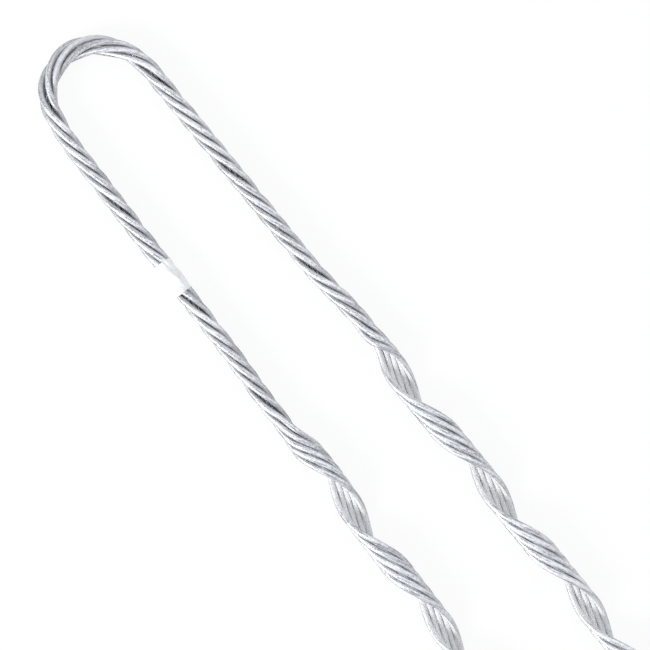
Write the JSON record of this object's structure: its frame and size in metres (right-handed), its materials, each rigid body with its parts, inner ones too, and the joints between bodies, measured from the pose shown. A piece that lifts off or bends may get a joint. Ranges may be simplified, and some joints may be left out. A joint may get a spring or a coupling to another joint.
{
  "type": "guy grip dead-end",
  "caption": "Preformed helical dead-end for a guy strand: a closed wire cable bent to an eye and two hollow helical gripping legs, with a marker tape.",
  "frame": {"origin": "centre of the bend of the eye, in the flat mid-plane of the cable", "axes": "+X from the eye towards the ends of the legs, +Z square to the flat plane of the eye, up as it lies"},
  "size_m": [0.5316, 0.0879, 0.0156],
  "materials": {
    "galvanised_wire": "galvanised",
    "marker_tape": "satin"
  },
  "bodies": {
    "root": {"wire_1": "galvanised_wire", "wire_2": "galvanised_wire", "wire_3": "galvanised_wire", "wire_4": "galvanised_wire", "wire_5": "galvanised_wire", "marker_tape": "marker_tape"}
  },
  "joints": []
}
